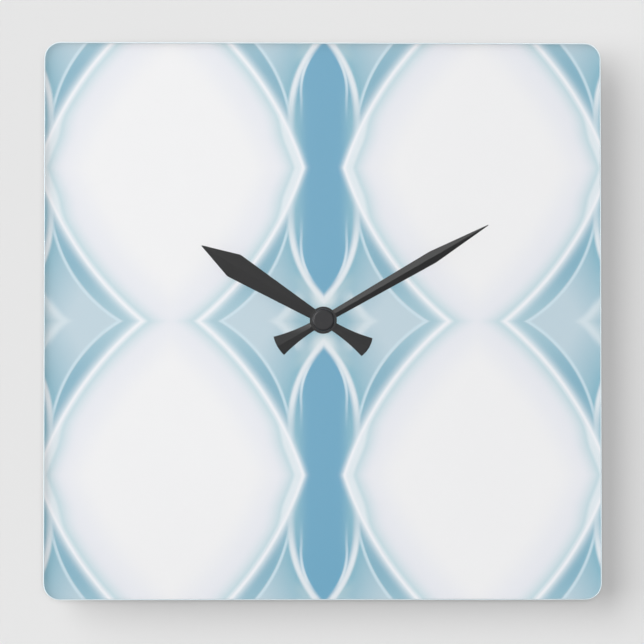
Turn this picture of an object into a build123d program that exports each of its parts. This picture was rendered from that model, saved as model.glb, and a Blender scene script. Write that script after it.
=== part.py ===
"""Square acrylic wall clock driven by a quartz movement. Millimetres, +Z up, the face towards -Y.

The origin is on the axis of the hand shaft, at the flat rear of the movement, which lies on the
wall. Heights are distances in front of the wall, so a piece at height h stands at y = -h.
"""
import os
from math import atan2, cos, pi, radians, sin, sqrt

from build123d import *

# Face: one square of clear acrylic, with the pattern printed on a film behind it
FACE_SIDE = 273.0
FACE_CORNER_RADIUS = 8.0
FACE_THICKNESS = 3.0
FACE_CHAMFER = 0.3
FILM_THICKNESS = 0.2
FACE_HOLE_RADIUS = 4.3

# Hands: the blade's length and widths, all from the shaft's axis
MINUTE_LENGTH, MINUTE_WIDEST_AT, MINUTE_WIDEST, MINUTE_ROOT = 93.1, 61.7, 6.3, 3.9
HOUR_LENGTH, HOUR_WIDEST_AT, HOUR_WIDEST, HOUR_ROOT = 69.7, 51.2, 12.4, 4.2
MINUTE_DIRECTION = 30.0  # degrees from +X towards +Z, ten minutes past
HOUR_DIRECTION = 148.5
MINUTE_TAIL, HOUR_TAIL = 25.9, 26.1
TAIL_CORNER_AT, TAIL_WIDTH, TAIL_ROOT = 25.1, 10.3, 4.4
TAIL_WAIST = (-15.7, 3.1)
TIP_WIDTH, SHOULDER_RADIUS = 0.4, 2.5
HAND_SHEET = 0.45
RIDGE_SLOPE = 8.0  # degrees that each half of a hand falls away from its middle crease
HAND_HUB_RADIUS = 6.6
MINUTE_TOP, HOUR_TOP = 26.7, 24.8
MINUTE_BUSH_RADIUS, HOUR_BUSH_RADIUS, BUSH_PROUD = 2.8, 3.4, 0.4
CAP_RADIUS, CAP_TOP, CAP_ROUNDING, CAP_POCKET_RADIUS = 5.5, 29.4, 1.1, 2.9

# Movement case, a deep tub with a cover over the gears and an open battery bay below them
CASE_SIDE = 56.0
CASE_DEPTH = 16.0
CASE_CORNER_RADIUS = 3.0
CASE_WALL = 1.5
CASE_ROUNDING = 0.8
FRONT_WALL = 1.2
COVER_THICKNESS = 1.2
DIVIDER_TOP, DIVIDER_THICKNESS = -10.2, 1.2
GASKET_THICKNESS, GASKET_RADIUS = 1.0, 12.0
BUSH_RADIUS, BUSH_BORE, BUSH_TOP = 4.0, 2.58, 23.4
BUSH_FLANGE_RADIUS, BUSH_FLANGE_THICKNESS = 6.0, 0.6
WASHER_RADIUS, WASHER_THICKNESS = 6.4, 0.5
NUT_ACROSS_FLATS, NUT_THICKNESS = 11.0, 2.0
THREAD_CHAMFER = 0.4
FINGER_NOTCH = (18.0, 10.0)  # below the cell, along x and in height
STRIP_NOTCH_WIDTH, STRIP_NOTCH = 1.6, (3.9, 6.4)
RIB_X, RIB_THICKNESS, RIB_REAR = (-12.0, 12.0), 1.2, 9.0
HOOK_X, HOOK_WIDTH, WINDOW_WIDTH, WINDOW_SPAN = (-18.0, 18.0), 5.0, 5.6, (2.6, 4.3)
HOOK_THICKNESS, HOOK_CATCH, HOOK_CATCH_AT, HOOK_TOP = 0.7, 0.5, 2.7, 4.0

# Setting knob, and the marks engraved in the cover
KNOB_SPAN, KNOB_RADIUS, KNOB_FLANGE_RADIUS, KNOB_FLANGE_TOP = (0.4, 1.7), 4.9, 6.0, 2.5
KNOB_HOLE_RADIUS, KNOB_FLUTES, FLUTE_RADIUS = 5.4, 24, 0.35
MARK_DEPTH, MARK_WIDTH, MARK_SIZE, MARK_X, MARK_Z = 0.3, 0.6, 3.2, 21.5, -7.4
ARROW_RADIUS, ARROW_RISE, ARROW_HEAD = 7.4, 4.2, 1.0

# Hanger tab above the movement, with a keyhole for a screw head
TAB_WIDTH, TAB_TOP, TAB_THICKNESS = 20.0, 41.0, 3.0
KEYHOLE_Z, KEYHOLE_RADIUS, KEYHOLE_SLOT, KEYHOLE_RISE = 33.0, 4.2, 4.0, 4.0

# Gear teeth, as shares of the module and of the pitch
ADDENDUM, DEDENDUM = 0.9, 1.2
ROOT_SHARE, TIP_SHARE = 0.29, 0.13
RUNNING_CLEARANCE = 0.08
ARBOR_RADIUS = 0.5

# Battery, an AA cell lying along X
CELL_RADIUS, WRAP_THICKNESS, CELL_LENGTH = 6.9, 0.2, 50.0
NUB_RADIUS, NUB_LENGTH = 2.75, 1.3
CELL_POSITIVE_END = -25.9
CELL_Z, CELL_HEIGHT = -19.0, 7.4

# Heights worked out from those above
INNER_TOP = CASE_DEPTH - FRONT_WALL
GASKET_TOP = CASE_DEPTH + GASKET_THICKNESS
FILM_TOP = GASKET_TOP + FILM_THICKNESS
FACE_TOP = FILM_TOP + FACE_THICKNESS
WASHER_TOP = FACE_TOP + WASHER_THICKNESS
NUT_TOP = WASHER_TOP + NUT_THICKNESS

HALF_CASE = CASE_SIDE / 2
HALF_ROOM = HALF_CASE - CASE_WALL
DIVIDER_BOTTOM = DIVIDER_TOP - DIVIDER_THICKNESS
COVER_BOTTOM = DIVIDER_TOP - DIVIDER_THICKNESS / 2


def facing(height, x=0.0, z=0.0, turn=0.0):
    """A plane that looks forward, away from the wall. Its x runs along +X turned towards +Z."""
    along = radians(turn)
    return Plane(origin=(x, -height, z), x_dir=(cos(along), 0, sin(along)), z_dir=(0, -1, 0))


def ring(low, high, outer, inner=0.0, at=(0.0, 0.0), mode=Mode.ADD):
    """A disc or ring between two heights, in the part being built."""
    with BuildSketch(facing(low, *at)) as profile:
        Circle(outer)
        if inner:
            Circle(inner, mode=Mode.SUBTRACT)
    extrude(profile.sketch, amount=high - low, mode=mode)


def block(x_span, height_span, z_span, mode=Mode.ADD):
    """A box between two values of x, of height and of z, in the part being built."""
    middle = (sum(x_span) / 2, sum(z_span) / 2)
    with BuildSketch(facing(height_span[0], *middle)) as profile:
        Rectangle(x_span[1] - x_span[0], z_span[1] - z_span[0])
    extrude(profile.sketch, amount=height_span[1] - height_span[0], mode=mode)


def toothed(low, high, teeth, module, first_tooth, at=(0.0, 0.0)):
    """A toothed disc between two heights, with one tooth pointing along first_tooth, in radians."""
    pitch = 2 * pi / teeth
    root_radius = (teeth / 2 - DEDENDUM) * module
    tip_radius = (teeth / 2 + ADDENDUM) * module
    tooth = ((root_radius, -ROOT_SHARE), (tip_radius, -TIP_SHARE),
             (tip_radius, TIP_SHARE), (root_radius, ROOT_SHARE))
    corners = []
    for number in range(teeth):
        for radius, share in tooth:
            angle = first_tooth + (number + share) * pitch
            corners.append((radius * cos(angle), radius * sin(angle)))
    with BuildSketch(facing(low, *at)) as profile:
        with BuildLine():
            Polyline(*corners, close=True)
        make_face()
    extrude(profile.sketch, amount=high - low)


def meshing(teeth, first_tooth, mate_teeth, start, end):
    """The direction of the mate's first tooth that puts its gap where this gear's tooth points."""
    line = atan2(end[1] - start[1], end[0] - start[0])
    past_tooth = (line - first_tooth) * teeth / (2 * pi) % 1
    return line + pi - (0.5 - past_tooth) * 2 * pi / mate_teeth


def finish(part, name):
    """Labels the part and writes its file."""
    part.part.label = name
    export_step(part.part, f"parts/{name}.step")


os.makedirs("parts", exist_ok=True)

# ------------------------------------------------------------------ gear train layout
# Teeth and modules, from the rotor's half turn each second to one turn in twelve hours
ROTOR_PINION, FIFTH_TEETH, ROTOR_MODULE = 10, 60, 0.25
FIFTH_PINION, SECOND_TEETH, FIFTH_MODULE = 10, 50, 0.3
SECOND_PINION, THIRD_TEETH, THIRD_PINION, CENTRE_TEETH = 8, 60, 8, 64
CANNON_PINION, MOTION_TEETH, MOTION_PINION, HOUR_TEETH, SETTING_TEETH = 12, 36, 10, 40, 18

THIRD_DISTANCE = 9.0
SECOND_MODULE = 2 * THIRD_DISTANCE / (SECOND_PINION + THIRD_TEETH)
CENTRE_MODULE = 2 * THIRD_DISTANCE / (THIRD_PINION + CENTRE_TEETH)
MOTION_DISTANCE = 8.0
CANNON_MODULE = 2 * MOTION_DISTANCE / (CANNON_PINION + MOTION_TEETH)
HOUR_MODULE = 2 * MOTION_DISTANCE / (MOTION_PINION + HOUR_TEETH)
FIFTH_DISTANCE = FIFTH_MODULE * (FIFTH_PINION + SECOND_TEETH) / 2
ROTOR_DISTANCE = ROTOR_MODULE * (ROTOR_PINION + FIFTH_TEETH) / 2
SETTING_DISTANCE = CANNON_MODULE * (SETTING_TEETH + MOTION_TEETH) / 2


def polar(distance, angle, start=(0.0, 0.0)):
    return (start[0] + distance * cos(radians(angle)), start[1] + distance * sin(radians(angle)))


CENTRE = (0.0, 0.0)
THIRD = polar(THIRD_DISTANCE, 170)
MOTION = polar(MOTION_DISTANCE, -10)
SETTING = polar(SETTING_DISTANCE, 5, MOTION)
ROTOR = (0.0, 13.0)
# The fifth wheel stands at its own distance from both the centre and the rotor, to their right
FIFTH_RISE = (FIFTH_DISTANCE**2 - ROTOR_DISTANCE**2 + ROTOR[1] ** 2) / (2 * ROTOR[1])
FIFTH = (sqrt(FIFTH_DISTANCE**2 - FIFTH_RISE**2), FIFTH_RISE)

CANNON_PHASE = 0.0
MOTION_PHASE = meshing(CANNON_PINION, CANNON_PHASE, MOTION_TEETH, CENTRE, MOTION)
HOUR_PHASE = meshing(MOTION_PINION, 0.0, HOUR_TEETH, MOTION, CENTRE)
SETTING_PHASE = meshing(MOTION_TEETH, MOTION_PHASE, SETTING_TEETH, MOTION, SETTING)
THIRD_PINION_PHASE = meshing(CENTRE_TEETH, 0.0, THIRD_PINION, CENTRE, THIRD)
SECOND_PINION_PHASE = meshing(THIRD_TEETH, 0.0, SECOND_PINION, THIRD, CENTRE)
FIFTH_PINION_PHASE = meshing(SECOND_TEETH, 0.0, FIFTH_PINION, CENTRE, FIFTH)
ROTOR_PHASE = meshing(FIFTH_TEETH, 0.0, ROTOR_PINION, FIFTH, ROTOR)

# Heights of the layers, from the cover forward
ARBOR_REAR, ARBOR_FRONT = 2.6, 11.4
FIFTH_WHEEL, FIFTH_PINION_SPAN, ROTOR_PINION_SPAN = (4.6, 5.4), (5.4, 7.4), (4.3, 5.7)
SECOND_WHEEL, SECOND_PINION_SPAN = (6.4, 7.2), (7.2, 9.0)
THIRD_WHEEL, THIRD_PINION_SPAN = (8.0, 8.8), (8.8, 10.4)
CLUTCH_SPAN, CENTRE_WHEEL, STUB_REAR = (9.2, 9.5), (9.5, 10.3), 9.2
PLATE_SPAN = (10.6, 11.8)
CANNON_SPAN, MOTION_WHEEL, SETTING_SPAN = (12.0, 13.3), (12.2, 13.0), (12.0, 13.2)
MOTION_PINION_SPAN, HOUR_WHEEL = (13.0, 14.5), (13.5, 14.4)
STUB_RADIUS, MINUTE_PIPE_RADIUS, MINUTE_BORE = 1.4, 1.85, 0.58
HOUR_PIPE_RADIUS, HOUR_PIPE_TOP, MINUTE_PIPE_TOP = 2.5, 25.4, 27.1
CAP_THREAD_RADIUS, CAP_THREAD_TOP = 1.6, 28.2
SECOND_ARBOR_TOP = 28.0
MOTION_POST_RADIUS, SETTING_SHAFT_RADIUS = 0.9, 1.0
PIVOTS = (CENTRE, THIRD, FIFTH, ROTOR)
PLATE_X, PLATE_Z = (-17.4, 22.4), (-9.9, 16.4)
PLATE_POSTS = ((-15.7, -8.4), (20.7, -8.4), (-15.7, 14.8), (20.7, 14.8))
POST_RADIUS, PIN_RADIUS = 1.3, 0.6

# Stepping motor: a coil on a steel core, joined to the stator plate around the rotor
COIL_Z, COIL_HEIGHT, COIL_HALF, COIL_RADIUS = 22.0, 7.1, 9.0, 4.1
FLANGE_THICKNESS, FLANGE_RADIUS = 1.0, 4.35
CORE_SIZE, CORE_HALF = (4.0, 1.6), 15.0
BARREL_SIZE = (5.6, 3.2)
STATOR_SPAN = (7.9, 8.7)
MAGNET_SPAN, MAGNET_RADIUS, STATOR_BORE = (7.0, 9.6), 3.0, 3.6
STATOR_POSTS = ((-13.0, COIL_Z), (13.0, COIL_Z))

# Circuit board on two posts at the left
BOARD_X, BOARD_Z, BOARD_SPAN = (-25.0, -10.6), (-9.2, 17.0), (3.2, 4.2)
BOARD_POSTS = ((-22.5, -5.5), (-22.5, 14.0))

# ------------------------------------------------------------------ face
with BuildPart() as acrylic_face:
    with BuildSketch(facing(FILM_TOP)):
        RectangleRounded(FACE_SIDE, FACE_SIDE, FACE_CORNER_RADIUS)
        Circle(FACE_HOLE_RADIUS, mode=Mode.SUBTRACT)
    extrude(amount=FACE_THICKNESS)
    front = acrylic_face.faces().sort_by(Axis.Y)[0]
    chamfer(front.outer_wire().edges(), FACE_CHAMFER)
finish(acrylic_face, "acrylic_face")

with BuildPart() as printed_film:
    with BuildSketch(facing(GASKET_TOP)):
        RectangleRounded(FACE_SIDE, FACE_SIDE, FACE_CORNER_RADIUS)
        Circle(FACE_HOLE_RADIUS, mode=Mode.SUBTRACT)
    extrude(amount=FILM_THICKNESS)
finish(printed_film, "printed_film")

with BuildPart() as rubber_gasket:
    ring(CASE_DEPTH, GASKET_TOP, GASKET_RADIUS, BUSH_RADIUS)
finish(rubber_gasket, "rubber_gasket")

with BuildPart() as fixing_washer:
    ring(FACE_TOP, WASHER_TOP, WASHER_RADIUS, BUSH_RADIUS)
finish(fixing_washer, "fixing_washer")

with BuildPart() as fixing_nut:
    with BuildSketch(facing(WASHER_TOP)):
        RegularPolygon(NUT_ACROSS_FLATS / 2, 6, major_radius=False)
        Circle(BUSH_RADIUS, mode=Mode.SUBTRACT)
    extrude(amount=NUT_THICKNESS)
    nut_front = fixing_nut.faces().sort_by(Axis.Y)[0]
    chamfer(nut_front.outer_wire().edges(), THREAD_CHAMFER)
finish(fixing_nut, "fixing_nut")


# ------------------------------------------------------------------ hands
def hand(top, direction, length, widest_at, widest, root, tail, bore):
    """A pressed sheet hand: a blade and a flared tail creased along the middle, and a flat hub."""
    slope = radians(RIDGE_SLOPE)
    reach = max(widest, TAIL_WIDTH) / 2 + 1
    fall = reach * sin(slope) / cos(slope)
    with BuildSketch(facing(top - fall - HAND_SHEET - 1, turn=direction)) as outline:
        with BuildLine():
            Polyline((0, TAIL_ROOT / 2), (0, root / 2), (widest_at, widest / 2),
                     (length, TIP_WIDTH / 2), (length, 0))
            corner = (-TAIL_CORNER_AT, TAIL_WIDTH / 2)
            ThreePointArc((0, TAIL_ROOT / 2), TAIL_WAIST, corner)
            bulge = tail - TAIL_CORNER_AT
            end_radius = (corner[1] ** 2 + bulge**2) / (2 * bulge)
            RadiusArc(corner, (-tail, 0), -end_radius)
            Line((-tail, 0), (length, 0))
        make_face()
        mirror(about=Plane.XZ)
        shoulders = outline.vertices().filter_by(lambda corner: abs(corner.X - widest_at) < 0.1)
        fillet(shoulders, SHOULDER_RADIUS)
    extrude(outline.sketch, amount=fall + HAND_SHEET + 2)
    # Only what lies in the creased sheet stays
    with BuildSketch(Plane(origin=(0, -top, 0), x_dir=(-sin(radians(direction)), 0,
                                                       cos(radians(direction))),
                           z_dir=(cos(radians(direction)), 0, sin(radians(direction))))) as crease:
        with BuildLine():
            Polyline((-reach, -fall), (0, 0), (reach, -fall), (reach, -fall - HAND_SHEET),
                     (0, -HAND_SHEET), (-reach, -fall - HAND_SHEET), close=True)
        make_face()
    extrude(crease.sketch, amount=length + tail, both=True, mode=Mode.INTERSECT)
    ring(top - HAND_SHEET, top, HAND_HUB_RADIUS)
    ring(top - 3, top + 1, bore, mode=Mode.SUBTRACT)


with BuildPart() as hour_hand:
    hand(HOUR_TOP, HOUR_DIRECTION, HOUR_LENGTH, HOUR_WIDEST_AT, HOUR_WIDEST, HOUR_ROOT,
         HOUR_TAIL, HOUR_BUSH_RADIUS)
finish(hour_hand, "hour_hand")

with BuildPart() as minute_hand:
    hand(MINUTE_TOP, MINUTE_DIRECTION, MINUTE_LENGTH, MINUTE_WIDEST_AT, MINUTE_WIDEST,
         MINUTE_ROOT, MINUTE_TAIL, MINUTE_BUSH_RADIUS)
finish(minute_hand, "minute_hand")

with BuildPart() as hour_hand_bush:
    ring(HOUR_TOP - 1.1, HOUR_TOP + BUSH_PROUD, HOUR_BUSH_RADIUS, HOUR_PIPE_RADIUS)
finish(hour_hand_bush, "hour_hand_bush")

with BuildPart() as minute_hand_bush:
    ring(MINUTE_TOP - 0.9, MINUTE_TOP + BUSH_PROUD, MINUTE_BUSH_RADIUS, MINUTE_PIPE_RADIUS)
finish(minute_hand_bush, "minute_hand_bush")

with BuildPart() as hand_cap:
    ring(MINUTE_TOP, CAP_TOP, CAP_RADIUS)
    cap_front = hand_cap.faces().sort_by(Axis.Y)[0]
    fillet(cap_front.edges(), CAP_ROUNDING)
    ring(MINUTE_TOP, MINUTE_PIPE_TOP, CAP_POCKET_RADIUS, mode=Mode.SUBTRACT)
    ring(MINUTE_PIPE_TOP, CAP_THREAD_TOP + 0.2, CAP_THREAD_RADIUS, mode=Mode.SUBTRACT)
finish(hand_cap, "hand_cap")

# ------------------------------------------------------------------ movement case
with BuildPart() as movement_case_front:
    with BuildSketch(facing(0)):
        RectangleRounded(CASE_SIDE, CASE_SIDE, CASE_CORNER_RADIUS)
    extrude(amount=CASE_DEPTH)
    case_front = movement_case_front.faces().sort_by(Axis.Y)[0]
    fillet(case_front.edges(), CASE_ROUNDING)
    # Gear room, the rebate that the cover fills, and the battery bay
    block((-HALF_ROOM, HALF_ROOM), (0, INNER_TOP), (DIVIDER_TOP, HALF_ROOM), Mode.SUBTRACT)
    block((-HALF_CASE, HALF_CASE), (0, COVER_THICKNESS), (COVER_BOTTOM, HALF_CASE), Mode.SUBTRACT)
    block((-HALF_ROOM, HALF_ROOM), (0, INNER_TOP), (-HALF_ROOM, DIVIDER_BOTTOM), Mode.SUBTRACT)
    # Finger notch below the cell, and notches that let the contact strips past the divider
    with BuildSketch(Plane.XY.offset(-HALF_CASE)):
        SlotOverall(*FINGER_NOTCH)
    extrude(amount=CASE_WALL, mode=Mode.SUBTRACT)
    for side in (-1, 1):
        span = sorted((side * HALF_ROOM, side * (HALF_ROOM - STRIP_NOTCH_WIDTH)))
        block(span, STRIP_NOTCH, (DIVIDER_BOTTOM, DIVIDER_TOP), Mode.SUBTRACT)
    # Cradle ribs that the cell lies in
    for rib_x in RIB_X:
        block((rib_x - RIB_THICKNESS / 2, rib_x + RIB_THICKNESS / 2), (RIB_REAR, INNER_TOP),
              (-HALF_ROOM, DIVIDER_BOTTOM))
    with BuildSketch(Plane.YZ.offset(-HALF_ROOM)):
        with Locations((-CELL_HEIGHT, CELL_Z)):
            Circle(CELL_RADIUS + WRAP_THICKNESS + 0.2)
    extrude(amount=2 * HALF_ROOM, mode=Mode.SUBTRACT)
    # Windows that the cover's hooks snap into
    for hook_x in HOOK_X:
        window_x = (hook_x - WINDOW_WIDTH / 2, hook_x + WINDOW_WIDTH / 2)
        block(window_x, WINDOW_SPAN, (HALF_ROOM, HALF_CASE), Mode.SUBTRACT)
        block(window_x, WINDOW_SPAN, (DIVIDER_BOTTOM, DIVIDER_TOP), Mode.SUBTRACT)
    # Hole and recess for the threaded bush
    ring(INNER_TOP, CASE_DEPTH, BUSH_RADIUS, mode=Mode.SUBTRACT)
    ring(INNER_TOP, INNER_TOP + BUSH_FLANGE_THICKNESS, BUSH_FLANGE_RADIUS, mode=Mode.SUBTRACT)
    # Posts for the middle plate, the circuit board and the stator, each with its locating pin
    for post in PLATE_POSTS:
        ring(PLATE_SPAN[1], INNER_TOP, POST_RADIUS, at=post)
        ring(PLATE_SPAN[0] - 0.4, INNER_TOP, PIN_RADIUS, at=post)
    for post in BOARD_POSTS:
        ring(BOARD_SPAN[1], INNER_TOP, POST_RADIUS, at=post)
        ring(BOARD_SPAN[0] - 0.4, INNER_TOP, PIN_RADIUS, at=post)
    for post in STATOR_POSTS:
        ring(STATOR_SPAN[1], INNER_TOP, POST_RADIUS, at=post)
        ring(STATOR_SPAN[0] - CORE_SIZE[1] - 0.4, INNER_TOP, PIN_RADIUS, at=post)
    # Post that the motion wheel turns on, and the setting shaft's front bearing
    ring(MOTION_WHEEL[0] - 0.3, INNER_TOP, MOTION_POST_RADIUS, at=MOTION)
    ring(INNER_TOP - 0.5, INNER_TOP, 2.0, at=SETTING)
    ring(INNER_TOP - 0.5, INNER_TOP + 0.5, SETTING_SHAFT_RADIUS + RUNNING_CLEARANCE, at=SETTING,
         mode=Mode.SUBTRACT)
    # Hanger tab with a keyhole
    with BuildSketch(facing(0)):
        with BuildLine():
            shoulder = TAB_TOP - TAB_WIDTH / 2
            Polyline((-TAB_WIDTH / 2, shoulder), (-TAB_WIDTH / 2, HALF_CASE - 1),
                     (TAB_WIDTH / 2, HALF_CASE - 1), (TAB_WIDTH / 2, shoulder))
            ThreePointArc((TAB_WIDTH / 2, shoulder), (0, TAB_TOP), (-TAB_WIDTH / 2, shoulder))
        make_face()
    extrude(amount=TAB_THICKNESS)
    block((-TAB_WIDTH / 2, TAB_WIDTH / 2), (0, COVER_THICKNESS), (HALF_CASE - 1, HALF_CASE),
          Mode.SUBTRACT)
    with BuildSketch(facing(0)):
        with Locations((0, KEYHOLE_Z)):
            Circle(KEYHOLE_RADIUS)
        with Locations((0, KEYHOLE_Z + KEYHOLE_RISE / 2)):
            Rectangle(KEYHOLE_SLOT, KEYHOLE_RISE)
        with Locations((0, KEYHOLE_Z + KEYHOLE_RISE)):
            Circle(KEYHOLE_SLOT / 2)
    extrude(amount=TAB_THICKNESS, mode=Mode.SUBTRACT)
finish(movement_case_front, "movement_case_front")

with BuildPart() as threaded_bush:
    ring(INNER_TOP, INNER_TOP + BUSH_FLANGE_THICKNESS, BUSH_FLANGE_RADIUS)
    ring(INNER_TOP, BUSH_TOP, BUSH_RADIUS)
    bush_front = threaded_bush.faces().sort_by(Axis.Y)[0]
    chamfer(bush_front.edges(), THREAD_CHAMFER)
    ring(INNER_TOP, BUSH_TOP, BUSH_BORE, mode=Mode.SUBTRACT)
finish(threaded_bush, "threaded_bush")

with BuildPart() as movement_case_rear:
    with BuildSketch(facing(0)):
        RectangleRounded(CASE_SIDE, CASE_SIDE, CASE_CORNER_RADIUS)
        with Locations((0, (COVER_BOTTOM - HALF_CASE) / 2)):
            Rectangle(CASE_SIDE, COVER_BOTTOM + HALF_CASE, mode=Mode.SUBTRACT)
    extrude(amount=COVER_THICKNESS)
    # Bosses for the rear pivots
    for pivot in PIVOTS:
        ring(COVER_THICKNESS, 3.4, 1.2, at=pivot)
        ring(2.4, 3.4, ARBOR_RADIUS + RUNNING_CLEARANCE, at=pivot, mode=Mode.SUBTRACT)
    ring(0, COVER_THICKNESS, KNOB_HOLE_RADIUS, at=SETTING, mode=Mode.SUBTRACT)
    # Snap hooks, two into the top wall and two into the divider
    for hook_x in HOOK_X:
        for wall, outward in ((HALF_ROOM - 0.05, 1), (DIVIDER_TOP + 0.05, -1)):
            inside = wall - outward * HOOK_THICKNESS
            with BuildSketch(Plane.YZ.offset(hook_x - HOOK_WIDTH / 2)):
                with BuildLine():
                    Polyline((-COVER_THICKNESS + 0.2, wall), (-HOOK_CATCH_AT, wall),
                             (-HOOK_CATCH_AT, wall + outward * HOOK_CATCH), (-HOOK_TOP, wall),
                             (-HOOK_TOP, inside), (-COVER_THICKNESS + 0.2, inside), close=True)
                make_face()
            extrude(amount=HOOK_WIDTH)
    # Polarity marks at the ends of the cell
    bar = (MARK_Z - MARK_WIDTH / 2, MARK_Z + MARK_WIDTH / 2)
    for mark_x in (-MARK_X, MARK_X):
        block((mark_x - MARK_SIZE / 2, mark_x + MARK_SIZE / 2), (0, MARK_DEPTH), bar, Mode.SUBTRACT)
    block((-MARK_X - MARK_WIDTH / 2, -MARK_X + MARK_WIDTH / 2), (0, MARK_DEPTH),
          (MARK_Z - MARK_SIZE / 2, MARK_Z + MARK_SIZE / 2), Mode.SUBTRACT)
    # Arc over the knob with an arrowhead at each end, since the knob turns both ways
    with BuildSketch(facing(0, *SETTING)):
        Circle(ARROW_RADIUS + MARK_WIDTH / 2)
        Circle(ARROW_RADIUS - MARK_WIDTH / 2, mode=Mode.SUBTRACT)
        with Locations((0, ARROW_RISE + ARROW_RADIUS)):
            Rectangle(3 * ARROW_RADIUS, 2 * ARROW_RADIUS, mode=Mode.INTERSECT)
        arrow_x = sqrt(ARROW_RADIUS**2 - ARROW_RISE**2)
        for side, pointing in ((1, -60), (-1, -120)):
            with Locations((side * arrow_x, ARROW_RISE)):
                RegularPolygon(ARROW_HEAD, 3, rotation=pointing)
    extrude(amount=MARK_DEPTH, mode=Mode.SUBTRACT)
finish(movement_case_rear, "movement_case_rear")

with BuildPart() as middle_plate:
    block(PLATE_X, PLATE_SPAN, PLATE_Z)
    fillet(middle_plate.edges().filter_by(Axis.Y), 1.5)
    for post in PLATE_POSTS:
        ring(*PLATE_SPAN, PIN_RADIUS, at=post, mode=Mode.SUBTRACT)
    ring(*PLATE_SPAN, STUB_RADIUS + RUNNING_CLEARANCE, mode=Mode.SUBTRACT)
    for pivot in PIVOTS[1:]:
        ring(*PLATE_SPAN, ARBOR_RADIUS + RUNNING_CLEARANCE, at=pivot, mode=Mode.SUBTRACT)
    ring(*PLATE_SPAN, SETTING_SHAFT_RADIUS + RUNNING_CLEARANCE, at=SETTING, mode=Mode.SUBTRACT)
finish(middle_plate, "middle_plate")

# ------------------------------------------------------------------ hand work
with BuildPart() as minute_pipe:
    ring(STUB_REAR, CANNON_SPAN[0], STUB_RADIUS)
    toothed(*CANNON_SPAN, CANNON_PINION, CANNON_MODULE, CANNON_PHASE)
    ring(CANNON_SPAN[1], MINUTE_PIPE_TOP, MINUTE_PIPE_RADIUS)
    ring(MINUTE_PIPE_TOP, CAP_THREAD_TOP, CAP_THREAD_RADIUS)
    ring(STUB_REAR, CAP_THREAD_TOP, MINUTE_BORE, mode=Mode.SUBTRACT)
finish(minute_pipe, "minute_pipe")

with BuildPart() as centre_wheel:
    toothed(*CENTRE_WHEEL, CENTRE_TEETH, CENTRE_MODULE, 0.0)
    ring(*CENTRE_WHEEL, STUB_RADIUS, mode=Mode.SUBTRACT)
finish(centre_wheel, "centre_wheel")

with BuildPart() as clutch_spring:
    ring(*CLUTCH_SPAN, 2.2, STUB_RADIUS)
    with BuildSketch(facing(CLUTCH_SPAN[0])):
        with PolarLocations(3.2, 3):
            Rectangle(3.0, 1.4)
    extrude(amount=CLUTCH_SPAN[1] - CLUTCH_SPAN[0])
finish(clutch_spring, "clutch_spring")

with BuildPart() as motion_wheel:
    toothed(*MOTION_WHEEL, MOTION_TEETH, CANNON_MODULE, MOTION_PHASE, at=MOTION)
    toothed(*MOTION_PINION_SPAN, MOTION_PINION, HOUR_MODULE, 0.0, at=MOTION)
    ring(MOTION_WHEEL[0], MOTION_PINION_SPAN[1], MOTION_POST_RADIUS + RUNNING_CLEARANCE,
         at=MOTION, mode=Mode.SUBTRACT)
finish(motion_wheel, "motion_wheel")

with BuildPart() as hour_wheel:
    toothed(*HOUR_WHEEL, HOUR_TEETH, HOUR_MODULE, HOUR_PHASE)
    ring(HOUR_WHEEL[1], HOUR_PIPE_TOP, HOUR_PIPE_RADIUS)
    ring(HOUR_WHEEL[0], HOUR_PIPE_TOP, MINUTE_PIPE_RADIUS + RUNNING_CLEARANCE, mode=Mode.SUBTRACT)
finish(hour_wheel, "hour_wheel")

with BuildPart() as setting_knob:
    ring(*KNOB_SPAN, KNOB_RADIUS, at=SETTING)
    ring(KNOB_SPAN[0], KNOB_SPAN[0] + 0.4, 3.6, 1.6, at=SETTING, mode=Mode.SUBTRACT)
    with BuildSketch(facing(KNOB_SPAN[0], *SETTING)):
        with PolarLocations(KNOB_RADIUS + 0.1, KNOB_FLUTES):
            Circle(FLUTE_RADIUS)
    extrude(amount=KNOB_SPAN[1] - KNOB_SPAN[0], mode=Mode.SUBTRACT)
    ring(KNOB_SPAN[1], KNOB_FLANGE_TOP, KNOB_FLANGE_RADIUS, at=SETTING)
    ring(KNOB_FLANGE_TOP, INNER_TOP + 0.4, SETTING_SHAFT_RADIUS, at=SETTING)
    toothed(*SETTING_SPAN, SETTING_TEETH, CANNON_MODULE, SETTING_PHASE, at=SETTING)
finish(setting_knob, "setting_knob")

# ------------------------------------------------------------------ running train
with BuildPart() as third_wheel:
    toothed(*THIRD_WHEEL, THIRD_TEETH, SECOND_MODULE, 0.0, at=THIRD)
    toothed(*THIRD_PINION_SPAN, THIRD_PINION, CENTRE_MODULE, THIRD_PINION_PHASE, at=THIRD)
    ring(ARBOR_REAR, ARBOR_FRONT, ARBOR_RADIUS, at=THIRD)
finish(third_wheel, "third_wheel")

with BuildPart() as second_wheel:
    toothed(*SECOND_WHEEL, SECOND_TEETH, FIFTH_MODULE, 0.0)
    toothed(*SECOND_PINION_SPAN, SECOND_PINION, SECOND_MODULE, SECOND_PINION_PHASE)
    ring(SECOND_WHEEL[0], SECOND_PINION_SPAN[1], ARBOR_RADIUS, mode=Mode.SUBTRACT)
finish(second_wheel, "second_wheel")

with BuildPart() as second_arbor:
    ring(ARBOR_REAR, SECOND_ARBOR_TOP, ARBOR_RADIUS)
finish(second_arbor, "second_arbor")

with BuildPart() as fifth_wheel:
    toothed(*FIFTH_WHEEL, FIFTH_TEETH, ROTOR_MODULE, 0.0, at=FIFTH)
    toothed(*FIFTH_PINION_SPAN, FIFTH_PINION, FIFTH_MODULE, FIFTH_PINION_PHASE, at=FIFTH)
    ring(ARBOR_REAR, ARBOR_FRONT, ARBOR_RADIUS, at=FIFTH)
finish(fifth_wheel, "fifth_wheel")

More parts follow.
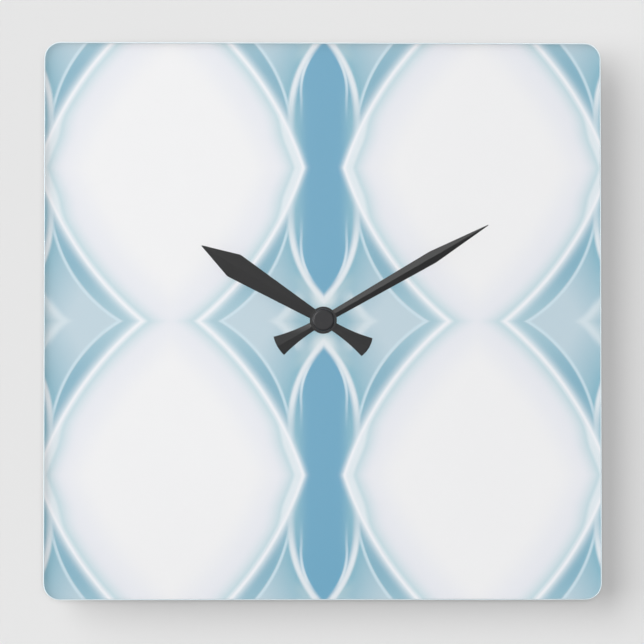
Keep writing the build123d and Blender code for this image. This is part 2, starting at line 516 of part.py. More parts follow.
with BuildPart() as rotor_pinion:
    toothed(*ROTOR_PINION_SPAN, ROTOR_PINION, ROTOR_MODULE, ROTOR_PHASE, at=ROTOR)
    ring(ROTOR_PINION_SPAN[1], MAGNET_SPAN[0], 1.4, at=ROTOR)
    ring(ARBOR_REAR, ARBOR_FRONT, ARBOR_RADIUS, at=ROTOR)
finish(rotor_pinion, "rotor_pinion")

with BuildPart() as rotor_magnet:
    ring(*MAGNET_SPAN, MAGNET_RADIUS, ARBOR_RADIUS, at=ROTOR)
finish(rotor_magnet, "rotor_magnet")

# ------------------------------------------------------------------ stepping motor
with BuildPart() as stator:
    with BuildSketch(facing(STATOR_SPAN[0])):
        with Locations((-13.0, 17.8), (13.0, 17.8)):
            Rectangle(4.0, 14.4)
        with Locations((0, 13.6)):
            Rectangle(30.0, 6.0)
        with Locations(ROTOR):
            Circle(4.8)
            Circle(STATOR_BORE, mode=Mode.SUBTRACT)
            # Two notches in the bore, which leave the rotor turned to one side at rest
            with PolarLocations(STATOR_BORE, 2, start_angle=45):
                Circle(0.5, mode=Mode.SUBTRACT)
        with Locations(*STATOR_POSTS):
            Circle(PIN_RADIUS, mode=Mode.SUBTRACT)
    extrude(amount=STATOR_SPAN[1] - STATOR_SPAN[0])
finish(stator, "stator")

CORE_HEIGHTS = (STATOR_SPAN[0] - CORE_SIZE[1], STATOR_SPAN[0])
with BuildPart() as coil_core:
    block((-CORE_HALF, CORE_HALF), CORE_HEIGHTS, (COIL_Z - CORE_SIZE[0] / 2,
                                                COIL_Z + CORE_SIZE[0] / 2))
    for post in STATOR_POSTS:
        ring(*CORE_HEIGHTS, PIN_RADIUS, at=post, mode=Mode.SUBTRACT)
finish(coil_core, "coil_core")

with BuildPart() as coil_bobbin:
    with BuildSketch(Plane.YZ.offset(-COIL_HALF - FLANGE_THICKNESS)):
        with Locations((-COIL_HEIGHT, COIL_Z)):
            Rectangle(BARREL_SIZE[1], BARREL_SIZE[0])
    extrude(amount=2 * (COIL_HALF + FLANGE_THICKNESS))
    for flange_x in (-COIL_HALF - FLANGE_THICKNESS, COIL_HALF):
        with BuildSketch(Plane.YZ.offset(flange_x)):
            with Locations((-COIL_HEIGHT, COIL_Z)):
                Circle(FLANGE_RADIUS)
        extrude(amount=FLANGE_THICKNESS)
    with BuildSketch(Plane.YZ.offset(-COIL_HALF - FLANGE_THICKNESS)):
        with Locations((-COIL_HEIGHT, COIL_Z)):
            Rectangle(CORE_SIZE[1], CORE_SIZE[0])
    extrude(amount=2 * (COIL_HALF + FLANGE_THICKNESS), mode=Mode.SUBTRACT)
finish(coil_bobbin, "coil_bobbin")

with BuildPart() as coil_winding:
    with BuildSketch(Plane.YZ.offset(-COIL_HALF)):
        with Locations((-COIL_HEIGHT, COIL_Z)):
            Circle(COIL_RADIUS)
            Rectangle(BARREL_SIZE[1], BARREL_SIZE[0], mode=Mode.SUBTRACT)
    extrude(amount=2 * COIL_HALF)
finish(coil_winding, "coil_winding")

# ------------------------------------------------------------------ electronics
with BuildPart() as circuit_board:
    block(BOARD_X, BOARD_SPAN, BOARD_Z)
    for post in BOARD_POSTS:
        ring(*BOARD_SPAN, PIN_RADIUS, at=post, mode=Mode.SUBTRACT)
finish(circuit_board, "circuit_board")

with BuildPart() as driver_chip:
    ring(BOARD_SPAN[0] - 1.0, BOARD_SPAN[0], 3.2, at=(-17.0, 1.0))
    dome = driver_chip.faces().sort_by(Axis.Y)[-1]
    fillet(dome.edges(), 0.9)
finish(driver_chip, "driver_chip")

with BuildPart() as quartz_crystal:
    with BuildSketch(Plane.YZ.offset(-20.0)):
        with Locations((-BOARD_SPAN[1] - 1.05, 10.0)):
            Circle(1.0)
    extrude(amount=6.0)
    fillet(quartz_crystal.faces().sort_by(Axis.X)[0].edges(), 0.4)
finish(quartz_crystal, "quartz_crystal")

# ------------------------------------------------------------------ battery and its contacts
STRIP = 0.35
STRIP_HEIGHTS = (BOARD_SPAN[1] + STRIP, 6.0)

with BuildPart() as contact_positive:
    left = (-HALF_ROOM, -HALF_ROOM + STRIP)
    block(left, (2.0, 12.5), (-24.0, -14.0))
    block(left, STRIP_HEIGHTS, (-24.0, -5.0))
    block((-HALF_ROOM, -24.4), (BOARD_SPAN[1], BOARD_SPAN[1] + STRIP), (-9.0, -5.0))
finish(contact_positive, "contact_positive")

with BuildPart() as contact_negative:
    block((HALF_ROOM - STRIP, HALF_ROOM), (2.0, 12.5), (-24.0, -14.0))
    block((HALF_ROOM - STRIP, HALF_ROOM), STRIP_HEIGHTS, (-16.0, DIVIDER_TOP + STRIP))
    block((-17.0, HALF_ROOM), STRIP_HEIGHTS, (DIVIDER_TOP, DIVIDER_TOP + STRIP))
    block((-17.0, -13.0), (BOARD_SPAN[1], STRIP_HEIGHTS[0] + 0.2), (DIVIDER_TOP, -7.0))
    # The leaf bows out of the plate towards the cell
    with BuildSketch(Plane.XY.offset(-22.0)):
        with BuildLine():
            root_x, crown_x = HALF_ROOM - STRIP, CELL_POSITIVE_END + CELL_LENGTH + 0.2
            ThreePointArc((root_x, -2.4), (crown_x, -CELL_HEIGHT), (root_x, -12.4))
            Line((root_x, -12.4), (root_x, -12.4 + STRIP))
            ThreePointArc((root_x, -12.4 + STRIP), (crown_x + STRIP, -CELL_HEIGHT),
                          (root_x, -2.4 - STRIP))
            Line((root_x, -2.4 - STRIP), (root_x, -2.4))
        make_face()
    extrude(amount=6.0)
finish(contact_negative, "contact_negative")


def along_cell(start, end, outer, inner=0.0):
    """A disc or ring about the cell's axis between two distances from its positive end."""
    with BuildSketch(Plane.YZ.offset(CELL_POSITIVE_END + start)) as profile:
        with Locations((-CELL_HEIGHT, CELL_Z)):
            Circle(outer)
            if inner:
                Circle(inner, mode=Mode.SUBTRACT)
    extrude(profile.sketch, amount=end - start)


with BuildPart() as battery_can:
    along_cell(NUB_LENGTH, CELL_LENGTH, CELL_RADIUS)
    along_cell(0, NUB_LENGTH, NUB_RADIUS)
    fillet(battery_can.faces().sort_by(Axis.X)[0].edges(), 0.4)
finish(battery_can, "battery_can")

with BuildPart() as battery_wrap:
    along_cell(NUB_LENGTH, CELL_LENGTH - 0.6, CELL_RADIUS + WRAP_THICKNESS, CELL_RADIUS)
finish(battery_wrap, "battery_wrap")

with BuildPart() as battery_seal:
    along_cell(NUB_LENGTH - 0.4, NUB_LENGTH, CELL_RADIUS - 0.6, NUB_RADIUS)
finish(battery_seal, "battery_seal")
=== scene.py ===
from math import cos, radians, sin

import bpy
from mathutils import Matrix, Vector


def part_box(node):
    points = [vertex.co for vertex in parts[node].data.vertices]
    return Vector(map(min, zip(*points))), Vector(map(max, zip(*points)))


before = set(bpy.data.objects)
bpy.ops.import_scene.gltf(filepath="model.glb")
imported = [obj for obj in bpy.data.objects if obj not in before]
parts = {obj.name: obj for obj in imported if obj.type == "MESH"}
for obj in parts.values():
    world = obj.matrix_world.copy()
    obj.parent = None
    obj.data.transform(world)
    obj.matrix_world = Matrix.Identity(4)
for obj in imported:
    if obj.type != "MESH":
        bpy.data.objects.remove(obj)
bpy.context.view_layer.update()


# ------------------------------------------------------------------ movement case
# The tub and its cover are moulded in black ABS. The mould was spark eroded, so the faces have a
# fine, even grain, and the long edges come out slightly rounded.
class Signal:
    """One socket of a finish's nodes, used in sums as a number is."""

    def __init__(self, finish, socket):
        self.finish = finish
        self.socket = socket

    def __add__(self, other):
        return self.finish.sum("ADD", self, other)

    def __radd__(self, other):
        return self.finish.sum("ADD", other, self)

    def __sub__(self, other):
        return self.finish.sum("SUBTRACT", self, other)

    def __rsub__(self, other):
        return self.finish.sum("SUBTRACT", other, self)

    def __mul__(self, other):
        return self.finish.sum("MULTIPLY", self, other)

    def __rmul__(self, other):
        return self.finish.sum("MULTIPLY", other, self)

    def __truediv__(self, other):
        return self.finish.sum("DIVIDE", self, other)

    def __rtruediv__(self, other):
        return self.finish.sum("DIVIDE", other, self)

    def __pow__(self, other):
        return self.finish.sum("POWER", self, other)

    def __abs__(self):
        return self.finish.sum("ABSOLUTE", self, 0.0)


class Finish:
    """A material, and the nodes that make its colour, gloss and relief. Lengths are millimetres."""

    def __init__(self, name):
        self.material = bpy.data.materials.new(name)
        self.material.use_nodes = True
        self.tree = self.material.node_tree
        self.tree.nodes.clear()
        self.place = self.node("TexCoord", out="Object")
        self.x, self.y, self.z = (
            self.node("SeparateXYZ", {}, {"Vector": self.place}, out=axis) * 1000 for axis in "XYZ")

    def node(self, kind, settings=(), values=(), out=0):
        """A node of that kind: its settings first, then what goes into its sockets."""
        made = self.tree.nodes.new("ShaderNode" + kind)
        for name, value in dict(settings).items():
            setattr(made, name, value)
        for name, value in dict(values).items():
            if isinstance(value, Signal):
                self.tree.links.new(value.socket, made.inputs[name])
            else:
                made.inputs[name].default_value = value
        return Signal(self, made.outputs[out]) if made.outputs else None

    def sum(self, operation, first, second):
        return self.node("Math", {"operation": operation}, {0: first, 1: second})

    def mix(self, first, second, share):
        """The first colour, turning into the second as the share goes from 0 to 1."""
        return self.node("Mix", {"data_type": "RGBA"}, {0: share, 6: first, 7: second}, out=2)

    def ramp(self, value, start, end, low=0.0, high=1.0):
        """Goes smoothly from low to high as the value goes from start to end."""
        spans = {"Value": value, "From Min": start, "From Max": end, "To Min": low, "To Max": high}
        return self.node("MapRange", {"interpolation_type": "SMOOTHSTEP"}, spans)

    def spot(self, x, y, z=0.0):
        """A place for noise, from its distances along the axes."""
        return self.node("CombineXYZ", {}, {"X": x / 1000, "Y": y / 1000, "Z": z / 1000})

    def noise(self, size, detail=2.0, place=None):
        """A cloudy value around a half, with lumps of about that size."""
        values = {"Vector": place or self.place, "Scale": 1000 / size, "Detail": detail}
        return self.node("TexNoise", {}, values)

    def relief(self, height, depth):
        """A surface raised by the height, which runs from 0 to 1, times the depth."""
        values = {"Height": height, "Distance": depth / 1000, "Strength": 1.0}
        return self.node("Bump", {}, values)

    def limit(self, value, low=0.0, high=None):
        """The value, kept from going below low, and above high if there is one."""
        value = self.sum("MAXIMUM", value, low)
        return value if high is None else self.sum("MINIMUM", value, high)

    def coat(self, names, values):
        """Ends the finish as one solid surface, on those parts."""
        self.put(names, self.node("BsdfPrincipled", {}, values))

    def put(self, names, surface):
        """Ends the finish in that surface, on those parts."""
        self.node("OutputMaterial", {}, {"Surface": surface})
        for name in names:
            for place in parts[name].material_slots:
                place.material = self.material


def shade(red, green, blue):
    """A colour from its three levels on a screen, 0 to 255."""
    def light(level):
        level /= 255
        return level / 12.92 if level <= 0.04045 else ((level + 0.055) / 1.055) ** 2.4
    return (light(red), light(green), light(blue), 1.0)


WELD_DISTANCE = 1e-6  # metres
SHARP_ANGLE = radians(35)


def soften(name, radius):
    """Rounds a part's sharp edges by that many millimetres."""
    weld = parts[name].modifiers.new("weld", "WELD")
    weld.merge_threshold = WELD_DISTANCE
    rounding = parts[name].modifiers.new("rounding", "BEVEL")
    rounding.width = radius / 1000
    rounding.segments = 2
    rounding.limit_method = "ANGLE"
    rounding.angle_limit = SHARP_ANGLE
    rounding.harden_normals = True


case = Finish("case_plastic")
grain = case.noise(0.35, 3.0)
case.coat(["movement_case_front", "movement_case_rear"], {
    "Base Color": case.mix(shade(20, 20, 22), shade(33, 33, 36), case.noise(7.0)),
    "Roughness": 0.4 + grain * 0.2,
    "Normal": case.relief(grain, 0.05),
})
soften("movement_case_front", 0.25)
soften("movement_case_rear", 0.15)

# ------------------------------------------------------------------ brass parts
# The M8 bush, the washer, the nut, the minute pipe and the collets of the hands are turned from
# free cutting brass. The tool leaves fine rings around the shaft, and the flats dull with handling.
brass = Finish("turned_brass")
radius = (brass.x * brass.x + brass.z * brass.z) ** 0.5
rings = brass.noise(0.17, 3.0, brass.spot(radius, brass.y))
handled = brass.noise(2.5, 4.0)
brass_parts = ["threaded_bush", "fixing_washer", "fixing_nut", "minute_pipe", "hour_hand_bush",
               "minute_hand_bush"]
brass.coat(brass_parts, {
    "Base Color": brass.mix(shade(214, 182, 112), shade(178, 143, 80), handled),
    "Metallic": 1.0,
    "Roughness": 0.2 + handled * 0.2,
    "Normal": brass.relief(rings, 0.02),
})
for name in ("fixing_nut", "fixing_washer"):
    soften(name, 0.08)

# ------------------------------------------------------------------ rubber gasket
# A die-cut ring of black rubber between the case and the film. It is dull, with a faint pale
# bloom, and it has the short scratches of the sheet that it was cut from.
rubber = Finish("rubber")
bloom = rubber.noise(3.0, 5.0)
rubber.coat(["rubber_gasket"], {
    "Base Color": rubber.mix(shade(24, 24, 24), shade(47, 47, 48), bloom),
    "Roughness": 0.75 + bloom * 0.2,
    "Normal": rubber.relief(rubber.noise(0.25, 3.0), 0.04),
})

# ------------------------------------------------------------------ plates and gears
# The middle plate and the bobbin are white nylon. The wheels and pinions are natural acetal, a
# little translucent, with the cloudy flow marks of the moulding and a silky face.
nylon = Finish("white_nylon")
cloud = nylon.noise(5.0, 3.0)
nylon.coat(["middle_plate", "coil_bobbin"], {
    "Base Color": nylon.mix(shade(232, 231, 226), shade(214, 212, 204), cloud),
    "Roughness": 0.42 + cloud * 0.15,
    "Normal": nylon.relief(nylon.noise(0.3, 2.0), 0.02),
})
acetal = Finish("acetal")
flow = acetal.noise(2.2, 4.0)
gears = ["centre_wheel", "hour_wheel", "motion_wheel", "third_wheel", "second_wheel", "fifth_wheel",
         "rotor_pinion"]
acetal.coat(gears, {
    "Base Color": acetal.mix(shade(238, 236, 228), shade(219, 215, 203), flow),
    "Roughness": 0.3 + flow * 0.15,
    "Subsurface Weight": 0.15,
    "Subsurface Radius": (0.0006, 0.0006, 0.0005),
    "Normal": acetal.relief(flow, 0.02),
})

# ------------------------------------------------------------------ setting knob
# The knob that sets the hands is moulded in black acetal and reaches through the cover. Its face
# is smoother than the case, and fingers have polished it unevenly.
knob = Finish("knob_plastic")
polish = knob.noise(1.6, 4.0)
knob.coat(["setting_knob"], {
    "Base Color": knob.mix(shade(27, 27, 29), shade(44, 44, 46), polish),
    "Roughness": 0.24 + polish * 0.25,
    "Normal": knob.relief(knob.noise(0.4, 2.0), 0.015),
})
soften("setting_knob", 0.08)

# ------------------------------------------------------------------ stepping motor
# Silicon steel laminations, a ferrite magnet, and a coil of enamelled copper wire wound in
# layers, so its outside shows the turns side by side and a few that crossed.
iron = Finish("soft_iron")
stamped = iron.noise(1.2, 5.0)
iron.coat(["stator", "coil_core"], {
    "Base Color": iron.mix(shade(172, 171, 170), shade(134, 133, 134), stamped),
    "Metallic": 1.0,
    "Roughness": 0.3 + stamped * 0.2,
    "Normal": iron.relief(iron.noise(0.2, 2.0), 0.01),
})
ferrite = Finish("ferrite")
sintered = ferrite.noise(0.4, 5.0)
ferrite.coat(["rotor_magnet"], {
    "Base Color": ferrite.mix(shade(48, 47, 50), shade(76, 74, 77), sintered),
    "Metallic": 0.3,
    "Roughness": 0.4 + sintered * 0.2,
    "Normal": ferrite.relief(sintered, 0.02),
})
WIRE_PITCH = 0.12
copper = Finish("copper_wire")
along_coil = copper.x + (copper.noise(3.0) - 0.5) * 0.3
turns = copper.sum("PINGPONG", along_coil, WIRE_PITCH / 2) * (2 / WIRE_PITCH)
layers = copper.noise(1.5, 2.0)
copper.coat(["coil_winding"], {
    "Base Color": copper.mix(shade(176, 88, 44), shade(205, 122, 70), layers),
    "Metallic": 0.9,
    "Roughness": 0.28 + turns * 0.12,
    "Coat Weight": 0.3 + layers * 0.2,
    "Normal": copper.relief(turns, 0.04),
})

# ------------------------------------------------------------------ circuit board
# Paper phenolic board under a green lacquer, with tracks at a fixed pitch. The chip is bonded to
# it under a drop of black epoxy, and the crystal lies beside it in a drawn, plated can.
TRACK_PITCH = 1.27
board = Finish("board_laminate")
lanes = board.sum("PINGPONG", board.z, TRACK_PITCH / 2) / (TRACK_PITCH / 2)
kept = board.ramp(board.noise(6.0, 1.0), 0.46, 0.5)
track = board.ramp(lanes, 0.55, 0.7) * kept
fibre = board.noise(0.8, 4.0)
lacquer = board.mix(shade(22, 74, 48), shade(30, 92, 58), fibre)
board.coat(["circuit_board"], {
    "Base Color": board.mix(lacquer, shade(66, 128, 78), track),
    "Roughness": 0.32 + fibre * 0.12,
    "Normal": board.relief(track, 0.035),
})
epoxy = Finish("epoxy")
sag = epoxy.noise(1.8, 1.0)
epoxy.coat(["driver_chip"], {
    "Base Color": epoxy.mix(shade(18, 18, 20), shade(30, 29, 31), sag),
    "Roughness": 0.18 + sag * 0.18,
    "Normal": epoxy.relief(sag, 0.1),
})
plated = Finish("plated_can")
drawn = plated.noise(0.15, 4.0, plated.spot(plated.x, plated.y, plated.z * 0.05))
plated.coat(["quartz_crystal"], {
    "Base Color": plated.mix(shade(206, 205, 202), shade(172, 171, 170), drawn),
    "Metallic": 1.0,
    "Roughness": 0.2 + drawn * 0.15,
    "Normal": plated.relief(drawn, 0.004),
})

# ------------------------------------------------------------------ springs and arbor
# The battery contacts and the clutch are stamped from nickel-plated spring steel, brushed along
# the strip, and the arbor is ground steel.
spring = Finish("spring_steel")
brushed = spring.noise(0.22, 4.0, spring.spot(spring.x * 0.06, spring.y, spring.z))
spring.coat(["contact_positive", "contact_negative", "clutch_spring", "second_arbor"], {
    "Base Color": spring.mix(shade(205, 203, 198), shade(165, 163, 160), brushed),
    "Metallic": 1.0,
    "Roughness": 0.22 + brushed * 0.2,
    "Normal": spring.relief(brushed, 0.005),
})

# ------------------------------------------------------------------ battery
# An AA cell: a nickel-plated can in a shrunk printed sleeve, with a copper-coloured end by the
# positive terminal, a bright ring beside it, and a nylon seal in the negative end.
COPPER_END, RING_END, PRINT_BLUR = -14.5, -13.7, 0.06  # along the cell, which lies along x
wrap = Finish("cell_wrap")
mottle = wrap.noise(4.0, 3.0)
graphite = wrap.mix(shade(38, 40, 44), shade(46, 48, 53), mottle)
copper_band = wrap.mix(shade(188, 120, 74), shade(170, 104, 62), mottle)
past_ring = wrap.ramp(wrap.x, RING_END, RING_END + PRINT_BLUR)
ringed = wrap.mix(shade(198, 198, 200), graphite, past_ring)
bright = wrap.ramp(wrap.x, RING_END + PRINT_BLUR, RING_END)
past_copper = wrap.ramp(wrap.x, COPPER_END - PRINT_BLUR, COPPER_END)
wrap.coat(["battery_wrap"], {
    "Base Color": wrap.mix(copper_band, ringed, past_copper),
    "Metallic": bright * 0.6,
    "Roughness": 0.24 + mottle * 0.14,
    "Normal": wrap.relief(wrap.noise(2.5, 2.0), 0.03),
})
can = Finish("cell_can")
worn = can.noise(1.0, 5.0)
can.coat(["battery_can"], {
    "Base Color": can.mix(shade(204, 203, 200), shade(168, 167, 166), worn),
    "Metallic": 1.0,
    "Roughness": 0.2 + worn * 0.2,
    "Normal": can.relief(worn, 0.008),
})
seal = Finish("cell_seal")
dusty = seal.noise(0.7, 3.0)
seal.coat(["battery_seal"], {
    "Base Color": seal.mix(shade(92, 88, 84), shade(120, 116, 110), dusty),
    "Roughness": 0.5 + dusty * 0.2,
    "Normal": seal.relief(dusty, 0.02),
})

# ------------------------------------------------------------------ printed film
# White polyester film, bonded to the back of the acrylic, with an inkjet print on its front. The
# print repeats and mirrors one cell: ovals, blue lenses between them and pale stars, all of arcs.
CELL_WIDTH, CELL_HEIGHT = 75.1, 75.4
PRINT_SHIFT_X, PRINT_SHIFT_Z = 0.5, -0.2
# Each circle's middle, across and up from the middle of the oval, and its radius
OVAL = (-93.3, -52.3), 168.0
SECOND = (-11.5, 15.1), 69.8
LENS = (112.9, 26.3), 53.8
FINE = (96.6, 37.5), 32.9
INNER = (36.0, 54.7), 26.0
POINT = (75.1, 63.0), 2.0
LENS_STRAIGHT, FINE_STRAIGHT = 26.3, 34.0  # below these heights, both lines run straight down
film = Finish("printed_film")


def folded(position, shift, side):
    """How far a place is from the middle of the nearest oval, along one side of the cell."""
    return abs(abs(position - shift) - side)


def ring_edge(across, up, middle, size):
    """How far a place is outside a circle, which is drawn about a middle point in the cell."""
    sideways = across - middle[0]
    upwards = up - middle[1]
    return (sideways * sideways + upwards * upwards) ** 0.5 - size


across = folded(film.x, PRINT_SHIFT_X, CELL_WIDTH)
up = folded(film.z, PRINT_SHIFT_Z, CELL_HEIGHT)
oval = ring_edge(across, up, *OVAL)
second = ring_edge(across, up, *SECOND)
lens = ring_edge(across, film.limit(up, LENS_STRAIGHT), *LENS)
fine = ring_edge(across, film.limit(up, FINE_STRAIGHT), *FINE)
inner = ring_edge(across, up, *INNER)
point = ring_edge(across, up, *POINT)

# The star is palest beside the second line and deepens towards the lens, with a smaller star in it
pale = film.limit((lens - 3.5) / 21.0) ** 0.8
star = film.mix(shade(137, 183, 200), shade(189, 209, 219), pale)
halo = film.ramp(lens, 8.0, 3.0) * film.ramp(up, 50.0, 58.0)
star = film.mix(star, shade(170, 199, 209), halo * 0.8)
middle = film.mix(shade(200, 216, 223), shade(149, 187, 202), film.ramp(inner, 0.0, 9.0))
star = film.mix(star, middle, film.ramp(inner, -0.6, 0.8) * film.ramp(up, 58.0, 66.0))
inner_line = film.ramp(inner, -3.2, 0.0) * film.ramp(inner, 3.0, 0.3) * film.ramp(up, 61.0, 70.0)
star = film.mix(star, shade(208, 222, 229), inner_line)
star = film.mix(star, shade(218, 228, 232), film.ramp(point, 7.5, -0.5))
# The band between the oval and the second line
band = film.mix(shade(131, 177, 196), shade(166, 199, 211), film.ramp(up, 44.0, 78.0))
ink = film.mix(band, star, film.ramp(second, -0.9, 0.4))
second_line = film.ramp(second, -0.4, 0.5) * film.ramp(second, 2.0, 0.7) * film.ramp(up, 24.0, 34.0)
ink = film.mix(ink, shade(205, 225, 235), second_line * 0.8)
# The lens, with a white edge and a fine line inside it
tint = film.ramp(across, 68.5, 61.0) * film.ramp(up, 50.0, 26.0)
lens_blue = film.mix(shade(106, 165, 194), shade(132, 181, 199), tint)
ink = film.mix(ink, lens_blue, film.ramp(lens, 0.6, -1.4))
fine_line = film.ramp(fine, -1.3, -0.2) * film.ramp(fine, 0.9, 0.1)
fine_line = fine_line * film.ramp(up, 20.0, 48.0) * film.ramp(up, 58.0, 50.0)
ink = film.mix(ink, shade(206, 224, 233), fine_line)
lens_line = film.ramp(lens, 2.5, 0.7) * film.ramp(lens, -2.7, 0.1) * film.ramp(up, 10.0, 40.0)
ink = film.mix(ink, shade(224, 231, 236), lens_line)
# The oval, white inside, with a blue haze behind its bright line
shoulder = film.ramp(up, 27.0, 12.0)
shifted = oval + shoulder * 2.6
white = film.mix(shade(239, 239, 240), shade(230, 232, 238), film.ramp(oval, -27.0, -9.0))
haze = film.limit((shifted + 11.0) / 7.3, 0.0, 1.0) ** 1.8
white = film.mix(white, shade(196, 217, 224), haze)
ink = film.mix(ink, white, film.ramp(oval, -1.8, -2.8))
rise = film.ramp(shifted, -3.9, -1.6) * 0.62 + film.ramp(oval, -3.4, -1.3) * 0.38
fall = film.limit(1 - (oval + 1.0) / (6.5 - shoulder * 2.0), 0.0, 1.0) ** 2.9
ink = film.mix(ink, shade(237, 240, 244), rise * fall)

# The back of the film is bare polyester, through which the print shows faintly
FILM_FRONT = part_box("printed_film")[0].y * 1000
at_back = film.ramp(film.y, FILM_FRONT + 0.12, FILM_FRONT + 0.16)
bare = film.mix(shade(228, 229, 230), ink, 0.12)
droplets = film.noise(0.25, 2.0)
film.coat(["printed_film"], {
    "Base Color": film.mix(ink, bare, at_back),
    "Roughness": 0.55 + droplets * 0.1,
    "Normal": film.relief(droplets, 0.004),
})

# ------------------------------------------------------------------ acrylic face
# A square of cast acrylic, laser cut. Its faces are polished and clear, so mostly the print shows,
# and its flame-polished edges are pale blue, with a painted glow that stands in for the light the
# sheet gathers.
HALF_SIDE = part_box("acrylic_face")[1].x * 1000
CORNER, CHAMFER = 8.0, 0.3
ACRYLIC_IOR = 1.49
FILM_GAP = 0.00002  # metres
acrylic = Finish("clear_acrylic")
corner_x = acrylic.limit(abs(acrylic.x) - (HALF_SIDE - CORNER))
corner_z = acrylic.limit(abs(acrylic.z) - (HALF_SIDE - CORNER))
inwards = CORNER - (corner_x * corner_x + corner_z * corner_z) ** 0.5
edge = acrylic.ramp(inwards, CHAMFER + 0.04, CHAMFER - 0.04)
smears = acrylic.noise(25.0, 3.0)
body = acrylic.node("BsdfPrincipled", {}, {
    "Base Color": acrylic.mix((1.0, 1.0, 1.0, 1.0), shade(222, 236, 242), edge),
    "Metallic": 1 - edge,
    "Roughness": 0.14 + smears * 0.04 + edge * 0.18,
    # Painted glow: a pale blue emission on the edge mask makes the edges look lit from within the
    # sheet
    "Emission Color": acrylic.mix((0.0, 0.0, 0.0, 1.0), shade(150, 166, 172), edge),
    "Emission Strength": 1.0,
    "Normal": acrylic.relief(smears, 0.01),
})
clear = acrylic.node("BsdfTransparent")
# The film is bonded to the rear of the acrylic, so only the front of it gleams
facing_out = 1 - acrylic.node("NewGeometry", out="Backfacing")
gloss = acrylic.node("Fresnel", {}, {"IOR": ACRYLIC_IOR}) * facing_out
share = gloss * (1 - edge) + edge * 0.6
acrylic.put(["acrylic_face"], acrylic.node("MixShader", {}, {0: share, 1: clear, 2: body}))
soften("acrylic_face", 0.1)
# The acrylic stops a hair in front of the film, so that the two never share a surface
trim = parts["acrylic_face"].modifiers.new("trim", "DISPLACE")
trim.strength = -FILM_GAP
trim.mid_level = 0.0

# ------------------------------------------------------------------ hands
# Pressed from 0.45 mm aluminium with a crease along the middle, and sprayed in satin charcoal
# lacquer with a very fine orange peel. The tails, below the shaft, are drier and duller.
lacquered = Finish("hand_lacquer")
peel = lacquered.noise(0.5, 2.0)
tone = lacquered.noise(12.0, 3.0)
dry = lacquered.ramp(lacquered.z, -3.0, -7.0)
lacquered.coat(["minute_hand", "hour_hand"], {
    "Base Color": lacquered.mix(shade(24, 24, 25), shade(31, 31, 32), tone),
    "Roughness": 0.33 + peel * 0.1 + dry * 0.3,
    "Specular IOR Level": 0.8,
    "Normal": lacquered.relief(peel, 0.006),
})
for name in ("minute_hand", "hour_hand"):
    soften(name, 0.06)
    # The light is so wide that the hands leave no shadow on the print
    parts[name].visible_shadow = False

# ------------------------------------------------------------------ hand cap
# A moulded charcoal cap, pressed over the end of the shaft. It is semi-gloss, with a rounded rim.
cap = Finish("cap_plastic")
moulded = cap.noise(0.6, 3.0)
cap.coat(["hand_cap"], {
    "Base Color": cap.mix(shade(42, 42, 44), shade(48, 48, 50), cap.noise(4.0)),
    "Roughness": 0.32 + moulded * 0.12,
    "Normal": cap.relief(moulded, 0.01),
})
for name in ("hand_cap", "fixing_washer", "fixing_nut", "threaded_bush", "hour_hand_bush",
             "minute_hand_bush", "hour_wheel", "minute_pipe", "second_arbor"):
    parts[name].visible_shadow = False

# ------------------------------------------------------------------ wall, light and camera
# A plain pale wall touches the back of the movement. It shows only from its front, so that the
# clock can be seen from behind. One wide soft lamp stands to the upper left, in a pale room.
WALL_REACH = 4.0
WALL_GAP = 0.0003
corners = [(across * WALL_REACH, WALL_GAP, up * WALL_REACH)
           for across, up in ((-1, -1), (1, -1), (1, 1), (-1, 1))]
wall_mesh = bpy.data.meshes.new("wall")
wall_mesh.from_pydata(corners, [], [(0, 1, 2, 3)])
wall = bpy.data.objects.new("wall", wall_mesh)
bpy.context.scene.collection.objects.link(wall)
plaster = Finish("wall_paint")
painted = plaster.node("BsdfDiffuse", {}, {"Color": (0.776, 0.776, 0.776, 1.0), "Roughness": 0.5})
behind = plaster.node("NewGeometry", out="Backfacing")
wall_mesh.materials.append(plaster.material)
unseen = plaster.node("BsdfTransparent")
plaster.put([], plaster.node("MixShader", {}, {0: behind, 1: painted, 2: unseen}))
wall.visible_shadow = False
wall.visible_diffuse = False
# The room's light reaches the wall behind the face, so that only the key lamp leaves a shadow
for name in ("printed_film", "acrylic_face"):
    parts[name].visible_diffuse = False


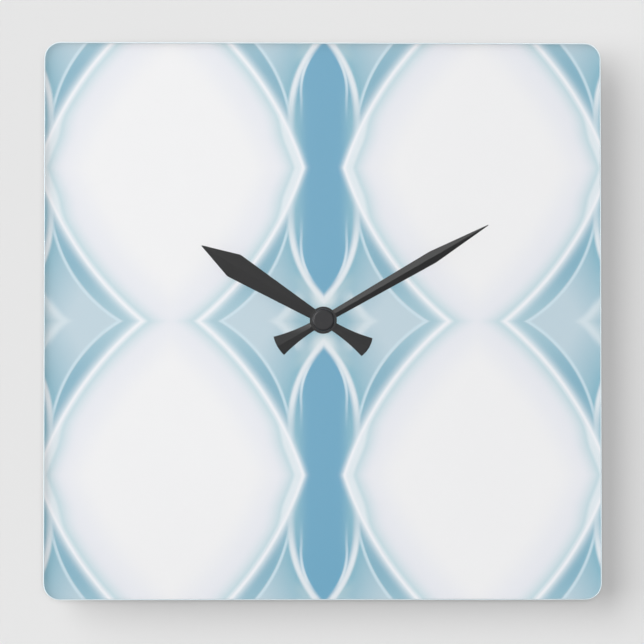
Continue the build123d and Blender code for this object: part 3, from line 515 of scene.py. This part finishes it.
def lamp(name, direction, spread, strength, shines=True):
    """Far light from that direction, as wide as the spread in degrees, with or without a gleam."""
    light = bpy.data.lights.new(name, "SUN")
    light.angle = radians(spread)
    light.energy = strength
    light.cycles.use_multiple_importance_sampling = False
    stand = bpy.data.objects.new(name, light)
    stand.rotation_euler = (-Vector(direction)).to_track_quat("-Z", "Y").to_euler()
    stand.visible_glossy = shines
    bpy.context.scene.collection.objects.link(stand)


lamp("key_lamp", (-0.74, -0.6, 0.33), 65.0, 2.5)
lamp("front_lamp", (0.0, -1.0, 0.0), 20.0, 1.42, shines=False)
lamp("back_lamp", (0.5, 0.75, 0.45), 60.0, 2.2)


def screen(name, place, size, strength):
    """A square pale screen that faces the clock and shows only as a gleam in what is glossy."""
    light = bpy.data.lights.new(name, "AREA")
    light.size = size
    light.energy = strength
    stand = bpy.data.objects.new(name, light)
    stand.location = place
    stand.rotation_euler = (-Vector(place)).to_track_quat("-Z", "Y").to_euler()
    stand.visible_diffuse = False
    bpy.context.scene.collection.objects.link(stand)


screen("face_screen", (-0.5, -2.4, 0.5), 1.3, 5.0)
screen("hand_screen", (-0.3, -2.4, 0.7), 0.35, 1.5)
room = bpy.data.worlds.new("room")
room.use_nodes = True
air = room.node_tree.nodes["Background"]
air.inputs["Color"].default_value = (1.0, 1.0, 1.0, 1.0)
air.inputs["Strength"].default_value = 0.15
bpy.context.scene.world = room

# The camera stands a little to the left of the shaft and a little below it
CAMERA_DISTANCE = 2.0
CAMERA_RIGHT, CAMERA_UP = radians(1.45), radians(2.0)
SENSOR_WIDTH, FOCAL_LENGTH = 36.0, 226.06
looking = Vector((sin(CAMERA_RIGHT) * cos(CAMERA_UP), cos(CAMERA_RIGHT) * cos(CAMERA_UP),
                  sin(CAMERA_UP)))
view = bpy.data.cameras.new("camera")
view.sensor_width = SENSOR_WIDTH
view.lens = FOCAL_LENGTH
camera = bpy.data.objects.new("camera", view)
camera.location = looking * -CAMERA_DISTANCE
camera.rotation_euler = looking.to_track_quat("-Z", "Y").to_euler()
bpy.context.scene.collection.objects.link(camera)
bpy.context.scene.camera = camera
bpy.context.scene.view_settings.view_transform = "Standard"
